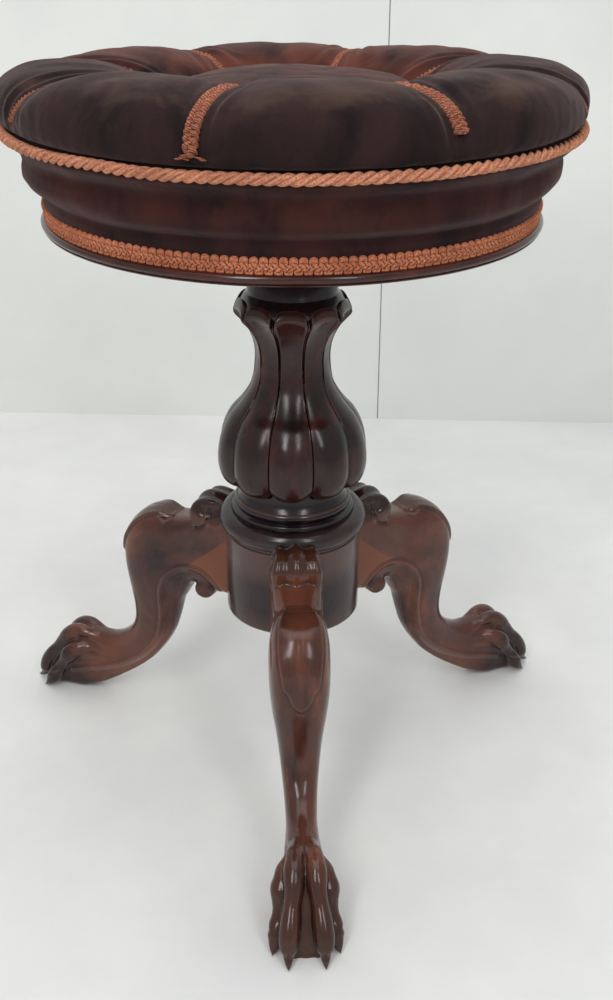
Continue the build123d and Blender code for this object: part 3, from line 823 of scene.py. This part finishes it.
def makeBoard():
    b = board
    profile = [(0, b["bottom"]), (b["block"] - 4, b["bottom"]), (b["block"] - 2.5, b["bottom"] + 0.8)]
    profile += [(b["block"], b["rimFoot"]), (158, b["rimFoot"]), (161.5, b["rimFoot"] + 0.2)]
    # small quirk under the rounded edge
    profile += [(163.2, b["rimFoot"] + 0.7), (163.7, b["rimFoot"] + 1.5), (163.1, b["rimFoot"] + 1.9)]
    profile += roundBead(b["radius"] - 2.7, b["top"] - 2.7, 2.7, 12, -70, 90)
    profile += [(158, b["top"]), (0, b["top"])]
    dress(lathe("seatBoard", profile, 240), "seat", finishes["rim"], ["seat_board"], 45)


makeBoard()
print("board turned")

# upholstery
seat = dict(
    foot=497.2, edge=189.0, inner=88.0, crown=34.0, lean=7.0, waist=0.34, fullness=0.8, drawIn=7.0,
    channelShare=0.27, channels=8, firstChannel=-19.4, gap=0.8, voxel=0.0066,
    # the cloth run: air inside, the furthest that a point may move in metres, and its last frame
    pressure=2.5, cap=0.003, frames=20,
    # radius, height over the foot of the centre pad
    pad=[
        (0, 0), (60, 0), (80, 0.2), (86, 3.0), (87.2, 8.0), (86, 13.0), (80, 17.5), (66, 21.2), (45, 23.4),
        (22, 24.4), (0, 24.8),
    ],
)


def lobeShare(turn):
    # 0 in a channel, 1 in the middle of a lobe
    pitch = 360 / seat["channels"]
    away = ((turn - seat["firstChannel"]) % pitch) / pitch * 2 - 1
    return abs(away), (1 - abs(away) ** 3) ** 0.62


def ringHeight(turn, puff):
    full = seat["crown"] + seat["lean"] * math.cos(math.radians(turn + 90))
    return full * (1 - seat["channelShare"] * (1 - puff))


def ringPoint(turn, puff, section, proud=0.0):
    # section runs in degrees from 0 at the outer edge over the crown to 180 at the inner edge
    height = ringHeight(turn, puff)
    waist = seat["waist"] * height
    across, up = math.cos(math.radians(section)), math.sin(math.radians(section))
    # the channels draw the edge in, less at the foot
    edge = seat["edge"] - seat["drawIn"] * (1 - puff) * (0.3 + 0.7 * ease(-0.6, 0.5, up))
    middle, half = (edge + seat["inner"]) / 2, (edge - seat["inner"]) / 2 + proud
    radius = middle + half * signedPower(across, seat["fullness"])
    if up >= 0:
        # lower and rounder on the inner side
        power = seat["fullness"] if across > 0 else seat["fullness"] + 0.9 * abs(across)
        level = waist + (height - waist + proud) * up**power
        level -= 2.6 * ease(0.0, 0.7, -across) * up
    else:
        # the lower edge stays full and rests on the rope
        radius = middle + half * signedPower(across, 0.15)
        level = waist - (waist + 1.3 * ease(-0.2, 0.8, across)) * abs(up) ** 0.95
    return around(radius, turn, seat["foot"] + level)


def puffUp(piece, grip):
    # a short cloth run with air inside; grip(point) from 0 free to 1 held
    skin = piece.modifiers.new("skin", "REMESH")
    skin.mode = "VOXEL"
    skin.voxel_size = seat["voxel"]
    bake(piece)
    mesh = piece.data
    before = [vert.co.copy() for vert in mesh.vertices]
    holds = [grip(place / mm) for place in before]
    group = piece.vertex_groups.new(name="held")
    for index, hold in enumerate(holds):
        group.add([index], hold, "REPLACE")
    cloth = piece.modifiers.new("cloth", "CLOTH")
    cloth.settings.quality = 5
    cloth.settings.mass = 0.3
    cloth.settings.tension_stiffness = cloth.settings.compression_stiffness = 8
    cloth.settings.bending_stiffness = 0.6
    cloth.settings.use_pressure = True
    cloth.settings.uniform_pressure_force = seat["pressure"]
    cloth.settings.effector_weights.gravity = 0
    cloth.settings.vertex_group_mass = "held"
    cloth.collision_settings.use_collision = False
    for step in range(1, seat["frames"] + 1):
        scene.frame_set(step)
    bake(piece)
    scene.frame_set(1)
    piece.vertex_groups.clear()
    for vert, place in zip(piece.data.vertices, before):
        shift = vert.co - place
        if shift.length > seat["cap"]:
            vert.co = place + shift * (seat["cap"] / shift.length)
    finer = piece.modifiers.new("finer", "SUBSURF")
    finer.levels = finer.render_levels = 2
    bake(piece)


def normalsOf(piece):
    # read in one go, because each moved point would have them all worked out again
    return [vert.normal.copy() for vert in piece.data.vertices]


def storeWearAndSheen(piece, rub, paintedSheenAndTone):
    # rub is wear; the other is painted sheen, with random tone on the border
    storeFloats(piece, "rub", rub)
    storeFloats(piece, "paintedSheenAndTone", paintedSheenAndTone)


def channelArc(point):
    # turn, radius, and how far along the round the nearest channel is
    turn = math.degrees(math.atan2(point.y, point.x))
    radius = math.hypot(point.x, point.y)
    return turn, radius, (1 - lobeShare(turn)[0]) * math.pi * radius / seat["channels"]


def makeCushion():
    bm = bmesh.new()

    def place(u, v):
        turn = 360 * v
        return ringPoint(turn, lobeShare(turn)[1], 360 * u)

    wrapGrid(bm, 60, 320, place)
    closeUp(bm)
    piece = meshObject(bm, "cushionRing")

    def grip(point):
        arc = channelArc(point)[2]
        return max(1 - ease(1.0, 5.5, arc), 1 - ease(499, 503, point.z))

    puffUp(piece, grip)
    rub, paintedSheenAndTone = [], []
    for vert, normal in zip(piece.data.vertices, normalsOf(piece)):
        point = vert.co / mm
        turn, radius, arc = channelArc(point)
        # pulled creases that fan out of each channel, and a soft crumple
        up = ease(501, 512, point.z)
        crease = 1.1 * noiseBy(turn * 0.16, radius * 0.02, 3.7) * ease(2, 10, arc)
        fan = 0.9 * math.sin(arc * 0.62 + 0.07 * radius) * hill(arc - 9, 7) * up
        crumple = 0.7 * noise.noise(point * 0.045 + Vector((5, 1, 8)))
        deep = -1.6 * hill(arc, 3.2) * up
        vert.co += normal * (fan + crumple + deep + crease) * mm * up
        rim = hill(radius - 172, 10) * 0.35 + hill(point.z - 538, 9) * 0.5
        rub.append(clamp(rim + 0.6 * noise.noise(point * 0.03) * up - 0.15))
        # painted sheen: redder and lighter on the far side and on the inner faces
        paintedSheenAndTone.append(clamp(0.1 + ease(-30, 120, point.y) * 0.9 + 0.5 * ease(120, 95, radius)))
    storeWearAndSheen(piece, rub, paintedSheenAndTone)
    dress(piece, "seat", finishes["seatVelvet"], ["cushion_cover"], 0)


def makeCentrePad():
    piece = lathe("centrePad", [(r, seat["foot"] + z) for r, z in seat["pad"]], 96)
    puffUp(piece, lambda point: 1 - ease(500, 505, point.z))
    widest = seat["inner"] - seat["gap"]
    rub, paintedSheenAndTone = [], []
    for vert, normal in zip(piece.data.vertices, normalsOf(piece)):
        point = vert.co / mm
        radius = math.hypot(point.x, point.y)
        if radius > widest:
            vert.co.xy *= widest / radius
        up = ease(501, 508, point.z)
        crumple = 1.2 * noise.noise(point * 0.03) + 0.5 * noise.noise(point * 0.09)
        vert.co += normal * crumple * mm * up
        rub.append(clamp(0.55 * hill(radius - 55, 30) + 0.5 * noise.noise(point * 0.04)))
        # painted sheen: redder and lighter towards the back
        paintedSheenAndTone.append(clamp(0.35 + ease(-40, 80, point.y) * 0.5))
    storeWearAndSheen(piece, rub, paintedSheenAndTone)
    dress(piece, "seat", finishes["seatVelvet"], ["centre_pad"], 0)


border = dict(
    # height, radius of the stretched cloth
    outline=[
        (437.4, 160.4), (442, 161.2), (447, 161.8), (451, 162.6), (454, 162.3), (456, 162.6), (459, 166.4),
        (462, 170.8), (466, 173.6), (470, 174.4), (474, 173.8), (478, 173.2), (482, 175.2), (486, 179.4),
        (489.5, 183.0), (492, 183.6), (494.5, 181.6), (496.4, 178.5),
    ],
    seamAt=-100.4,
    # height of the turned-in edge over the padding, and the radii that the edges are turned in to
    overZ=497.0, overRadii=(170.0, 150.0), underRadii=(158.6, 140.0),
)


def makeBorder():
    b = border
    low, high = b["outline"][0][0], b["outline"][-1][0]

    def place(u, v):
        turn, height = 360 * u, low + (high - low) * v
        radius = follow(b["outline"], height)
        spot = around(1, turn)
        # the crease wanders, and slack folds run along the swell
        sway = 2.6 * noise.noise(spot * 2.2 + Vector((2, 0, 0)))
        radius = 0.4 * radius + 0.6 * follow(b["outline"], clamp(height - sway, low, high))
        middle = ease(448, 456, height) * (1 - ease(486, 494, height))
        fold = 1.5 * noiseBy(spot.x * 3.2, spot.y * 3.2, height * 0.11)
        pulls = 0.7 * noiseBy(spot.x * 9, spot.y * 9, height * 0.03)
        radius += (fold + pulls) * middle
        # upright seam that joins the strip's ends
        away = turnFrom(b["seamAt"], turn)
        radius += 0.45 * hill(away - 0.35, 0.28) - 0.55 * hill(away + 0.1, 0.16)
        return around(radius, turn, height)

    bm = bmesh.new()
    wrapGrid(bm, 720, 72, place)
    weld(bm)
    # turned in over the padding and under it
    for upper, height, radii in ((True, b["overZ"], b["overRadii"]), (False, low, b["underRadii"])):
        edges = [e for e in bm.edges if e.is_boundary and (e.verts[0].co.z > (low + high) / 2) == upper]
        for radius in radii:
            edges = pullEdges(bm, edges, lambda p: atRadius(p, radius, height))
    closeUp(bm)
    piece = meshObject(bm, "borderVelvet")
    rub, paintedSheenAndTone = [], []
    for vert in piece.data.vertices:
        point = vert.co / mm
        swell = hill(point.z - 470, 12)
        rub.append(clamp(0.25 * swell + 0.7 * noise.noise(point * 0.025) - 0.1))
        # painted sheen on the swell, with uneven tone from noise
        paintedSheenAndTone.append(clamp(0.35 + 0.5 * swell + 0.6 * noise.noise(point * 0.02 + Vector((7, 7, 7)))))
    storeWearAndSheen(piece, rub, paintedSheenAndTone)
    dress(piece, "seat", finishes["borderVelvet"], ["border_velvet", "stuffing"], 60)


makeCushion()
makeCentrePad()
makeBorder()
print("seat upholstered")

# trimmings
trim = dict(
    ropeRadius=184.8, ropeHeight=494.2, ropeTurns=54, ropeJoin=-172, strandRadius=1.8, layRadius=1.75,
    # the two cords at the front end lower and higher than the others, and stand proud
    cordPitch=15.0, cordStrand=1.95, cordEnds={7: 1.1, 8: 0.90}, frayed=7,
    scallops=184, gimpFoot=435.4, gimpTop=447.2, gimpBack=160.9,
)


def makeRope():
    t = trim
    bm = bmesh.new()
    for strand in range(3):

        def place(u, v):
            turn = 360 * v
            lay = math.tau * (t["ropeTurns"] * v + strand / 3)
            out, up = around(1, turn), Vector((0, 0, 1))
            # the rope dips and swells a little where it was sewn
            drift = 0.9 * noise.noise(out * 3.1)
            size = 1 + 0.07 * noise.noise(out * 14)
            # the join at the left is bound thicker
            size *= 1 + 0.35 * hill(turnFrom(t["ropeJoin"], turn), 2.2)
            centre = out * t["ropeRadius"] + up * (t["ropeHeight"] + drift)
            axis = (math.cos(lay) * out + math.sin(lay) * up) * t["layRadius"] * size
            a = math.tau * u
            ring = math.cos(a) * out + math.sin(a) * up
            return centre + axis + ring * t["strandRadius"] * size * (1 + 0.05 * math.cos(3 * a))

        wrapGrid(bm, 14, t["ropeTurns"] * 16, place)
    weld(bm)
    closeUp(bm)
    dress(meshObject(bm, "seamRope"), "seat", finishes["rope"], ["seam_cord"], 0)


def cordRoute(turn, share, lift):
    # from the centre pad's edge (0) over the ring down to the seam (1)
    start, end = 150.0, -4.0
    return ringPoint(turn, 0.0, start + (end - start) * share, lift)


def plait(bm, turn, endShare, seed, lift, size, fray):
    spots = [cordRoute(turn, endShare * i / 40, lift) for i in range(41)]
    length = sum((after - before).length for before, after in zip(spots, spots[1:]))
    turns = length / (trim["cordPitch"] * size)
    side = around(1, turn + 90)
    for strand in range(3):

        def place(u, v):
            share = endShare * v
            here = cordRoute(turn, share, lift)
            ahead = cordRoute(turn, share + 0.01, lift) - cordRoute(turn, share - 0.01, lift)
            up = ahead.cross(side).normalized()
            if up.z < 0 and share < 0.6 or up.dot(around(1, turn)) < 0 and share >= 0.6:
                up = -up
            lay = math.tau * (turns * v + strand / 3)
            sway = 1.6 * noiseBy(share * 3, seed, 0)
            across = math.sin(lay) * 2.5 * size + sway
            over = math.sin(2 * lay) * 1.2 * size
            if fray:
                # the end parts in two tails
                across += (-0.9, -0.4, 1.0)[strand] * 5.0 * ease(0.84, 1.0, v) ** 1.4
            a = math.tau * u
            radius = trim["cordStrand"] * size * (1 + 0.08 * noiseBy(share * 30, seed, strand))
            radius *= min(1.0, ((1 - v) * length / 2.0 + 0.12), (v * length / 2.0 + 0.12))
            return here + side * (across + radius * math.cos(a)) + up * (over + radius * math.sin(a))

        wrapGrid(bm, 10, int(length * 1.5), place)


def makeCords():
    for number in range(1, seat["channels"] + 1):
        turn = seat["firstChannel"] + 360 / seat["channels"] * (number - 1)
        end = trim["cordEnds"].get(number, 0.985)
        lift, size = (3.6, 1.0) if number in trim["cordEnds"] else (1.0, 0.7)
        bm = bmesh.new()
        plait(bm, turn, end, number * 3.3, lift, size, number == trim["frayed"])
        closeUp(bm)
        name = f"radialCord{number}"
        dress(meshObject(bm, name), "seat", finishes["cord"], [f"radial_cord_{number}"], 0)


def makeGimp():
    # two rows of looped scallops with a plait between them
    t = trim
    middle, half = (t["gimpTop"] + t["gimpFoot"]) / 2, (t["gimpTop"] - t["gimpFoot"]) / 2

    def place(u, v):
        turn, rise = 360 * u, 2 * v - 1
        # the lower row is half a scallop further on
        cell = (u * t["scallops"] + (0.0 if rise > 0 else 0.5)) % 1 - 0.5
        reach = abs(rise)
        bulge = math.sqrt(max(0.0, 1 - (cell * 2) ** 2))
        edge = 0.60 + 0.40 * bulge
        height = middle + math.copysign(reach * edge * half, rise)
        # relief: looped threads fan out in a scallop, the plait leans both ways in the middle
        inScallop = ease(0.42, 0.52, reach)
        fan = math.atan2(cell * 5.6, max(reach * edge * half - 1.9, 0.05))
        dome = bulge * math.sqrt(max(0.0, 1 - ((reach - 0.72) / 0.30) ** 2)) if reach > 0.42 else 0.0
        lean = (u * t["scallops"] * 1.5 + math.copysign(1, rise) * 0.25 + reach * 1.15) % 1
        herring = math.sin(math.pi * lean) * math.sqrt(max(0.0, 1 - (reach / 0.5) ** 2))
        threads = 1.5 + 0.26 * math.cos(fan * 11)
        relief = inScallop * dome * threads + (1 - inScallop) * (0.9 * herring + 0.5)
        close = 1 - ease(0.9, 1.0, reach)
        radius = follow(border["outline"], height) + 0.55
        return around(radius + relief * close, turn, height)

    bm = bmesh.new()
    wrapGrid(bm, t["scallops"] * 12, 26, place)
    weld(bm, 0.005)
    pullEdges(bm, [e for e in bm.edges if e.is_boundary], lambda p: atRadius(p, t["gimpBack"], p.z))
    closeUp(bm)
    piece = meshObject(bm, "gimp")
    # hollows between the threads, for painted shade
    markCavities(piece, 3, 2.6, 0)
    dress(piece, "seat", finishes["gimp"], ["gimp_braid"], 60)


makeRope()
makeCords()
makeGimp()
print("trimmings sewn on")

# iron and steel
screwShape = dict(
    outer=10.9, root=9.1, lead=6.35, top=418.0, threadTop=405.0, bottom=277.3, studFoot=268.2
)


def makeScrew():
    s = screwShape
    bm = bmesh.new()
    half = s["lead"] / 2
    # one tooth of the square-ish thread, wound up by spin
    tooth = [(s["root"], -half), (s["root"], -half + 1.5), (s["outer"], -half + 2.3)]
    tooth += [(s["outer"], half - 1.0), (s["root"], half)]
    turns = int((s["top"] - s["bottom"]) / s["lead"]) - 1
    start = s["bottom"] + 4
    verts = [bm.verts.new((r, 0, start + z)) for r, z in tooth]
    edges = [bm.edges.new(pair) for pair in zip(verts, verts[1:])]
    stepsPerTurn = 36
    bmesh.ops.spin(
        bm, geom=verts + edges, axis=(0, 0, 1), cent=(0, 0, 0), angle=math.tau * turns,
        dvec=(0, 0, s["lead"] / stepsPerTurn), steps=stepsPerTurn * turns,
    )
    weld(bm)
    core = [(0, s["studFoot"]), (4.2, s["studFoot"]), (4.9, s["studFoot"] + 1), (4.9, s["bottom"])]
    core += [(9.6, s["bottom"]), (9.6, s["bottom"] + 1), (s["root"] + 0.05, s["bottom"] + 1.6)]
    core += [(s["root"] + 0.05, s["threadTop"]), (s["outer"], s["threadTop"] + 1)]
    core += [(s["outer"], s["top"]), (0, s["top"])]
    spinProfile(bm, core, 48)
    bmesh.ops.recalc_face_normals(bm, faces=bm.faces)
    dress(meshObject(bm, "screw"), "seat", finishes["steel"], ["spindle_screw"], 40)


def keepNodes():
    # the hidden metalwork and the hoop keep the frame's own form
    keep = dict(
        thread_nut="iron", seat_plate="iron", nut_screws="steel", stop_washer="steel", stop_nut="steel",
        seat_plate_screws="steel", seat_hoop="raw",
    )
    for name, finish in keep.items():
        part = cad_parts[name]
        part.data.materials.clear()
        part.data.materials.append(finishes[finish])


makeScrew()
keepNodes()
print("metalwork in place")

# camera, stage and light
view = dict(
    place=(-0.0470, -0.8550, 0.6376), pan=0.0669, pitch=0.4537, roll=0.005, lens=46.39,
    # how far the room reaches, the wall's height, depth and turn, and where its joint stands, in millimetres
    reach=4000, wallHeight=2600, wallY=684.0, wallTurn=-0.10, jointX=147.0,
)


def makeCamera():
    camera = bpy.data.objects.new("camera", bpy.data.cameras.new("camera"))
    scene.collection.objects.link(camera)
    camera.data.lens = view["lens"]
    camera.data.sensor_width = 36
    turn = Matrix.Rotation(-view["pan"], 4, "Z") @ Matrix.Rotation(math.pi / 2 - view["pitch"], 4, "X")
    camera.matrix_world = Matrix.Translation(view["place"]) @ turn @ Matrix.Rotation(view["roll"], 4, "Z")
    scene.camera = camera


def paint(name, base, other, rough, oneSided=False):
    material, tree, shader = newMaterial(name)
    if oneSided:
        # seen from behind it is clear, so that the stool can be looked at from all sides
        back = node(tree, "NewGeometry").outputs["Backfacing"]
        mixed = node(tree, "MixShader", Fac=back)
        tree.links.new(shader.outputs["BSDF"], mixed.inputs[1])
        tree.links.new(node(tree, "BsdfTransparent").outputs["BSDF"], mixed.inputs[2])
        tree.links.new(mixed.outputs["Shader"], tree.nodes["Material Output"].inputs["Surface"])
    plain = mapped(tree)
    scuffs = noiseAt(tree, plain, 5.0, 6.0, 0.6)
    setShader(
        tree, shader, Base_Color=ramp(tree, scuffs, (0.3, other), (0.62, base)), Roughness=rough,
        Normal=bumped(tree, (noiseAt(tree, plain, 40.0, 4.0), 0.05, 0.002)),
    )
    return material


def makeStage():
    reach, tall = view["reach"], view["wallHeight"]
    floor = bmesh.new()
    bmesh.ops.create_grid(floor, x_segments=2, y_segments=2, size=reach)

    def panels(*spans):
        # upright sheets that face the room, each from left to right at a depth
        bm = bmesh.new()
        for left, right, depth in spans:
            made = bmesh.ops.create_grid(bm, x_segments=1, y_segments=1, size=0.5)["verts"]
            bmesh.ops.scale(bm, vec=(right - left, tall, 1), verts=made)
            bmesh.ops.rotate(bm, cent=(0, 0, 0), matrix=Matrix.Rotation(math.pi / 2, 3, "X"), verts=made)
            bmesh.ops.translate(bm, vec=((left + right) / 2, depth, tall / 2), verts=made)
        facing = Matrix.Rotation(view["wallTurn"], 3, "Z")
        bmesh.ops.rotate(bm, cent=(0, 0, 0), matrix=facing, verts=bm.verts)
        bmesh.ops.translate(bm, vec=(view["jointX"], view["wallY"], 0), verts=bm.verts)
        return bm

    for bm, name, material in (
        (floor, "floor", paint("floorPaint", "e6e6e4", "d9d9d9", 0.45)),
        (panels((-reach, 0, 0), (1.3, reach, 0)), "wall", paint("wallPaint", "e6e7e4", "dddfdc", 0.7, True)),
        # dark strip behind the gap between the panels: painted shadow of the joint
        (panels((-8, 9, 3)), "wallJoint", paint("jointShadowPaint", "7d7f7d", "6e706e", 0.8, True)),
    ):
        piece = meshObject(bm, name)
        piece.data.materials.append(material)


def areaLight(name, place, target, size, power, colour):
    data = bpy.data.lights.new(name, "AREA")
    data.shape = "RECTANGLE"
    data.size, data.size_y = size
    data.energy = power
    data.color = colour
    lamp = bpy.data.objects.new(name, data)
    scene.collection.objects.link(lamp)
    lamp.location = place
    lamp.rotation_euler = (Vector(target) - Vector(place)).to_track_quat("-Z", "Y").to_euler()


def makeLight():
    areaLight("window", (-0.9, -1.9, 1.9), (0, 0, 0.3), (0.45, 1.5), 22, (1.0, 0.99, 0.97))
    areaLight("secondWindow", (0.8, -2.1, 1.8), (0, 0, 0.3), (0.3, 1.3), 12, (0.97, 0.99, 1.0))
    areaLight("ceiling", (0, -0.2, 2.4), (0, 0, 0), (2.4, 2.0), 22, (1.0, 1.0, 1.0))
    world = bpy.data.worlds.new("room")
    scene.world = world
    world.use_nodes = True
    sky = world.node_tree.nodes["Background"]
    sky.inputs["Color"].default_value = (0.93, 0.95, 0.96, 1)
    sky.inputs["Strength"].default_value = 0.55
    scene.view_settings.view_transform = "Standard"


makeCamera()
makeStage()
makeLight()
print("room lit")
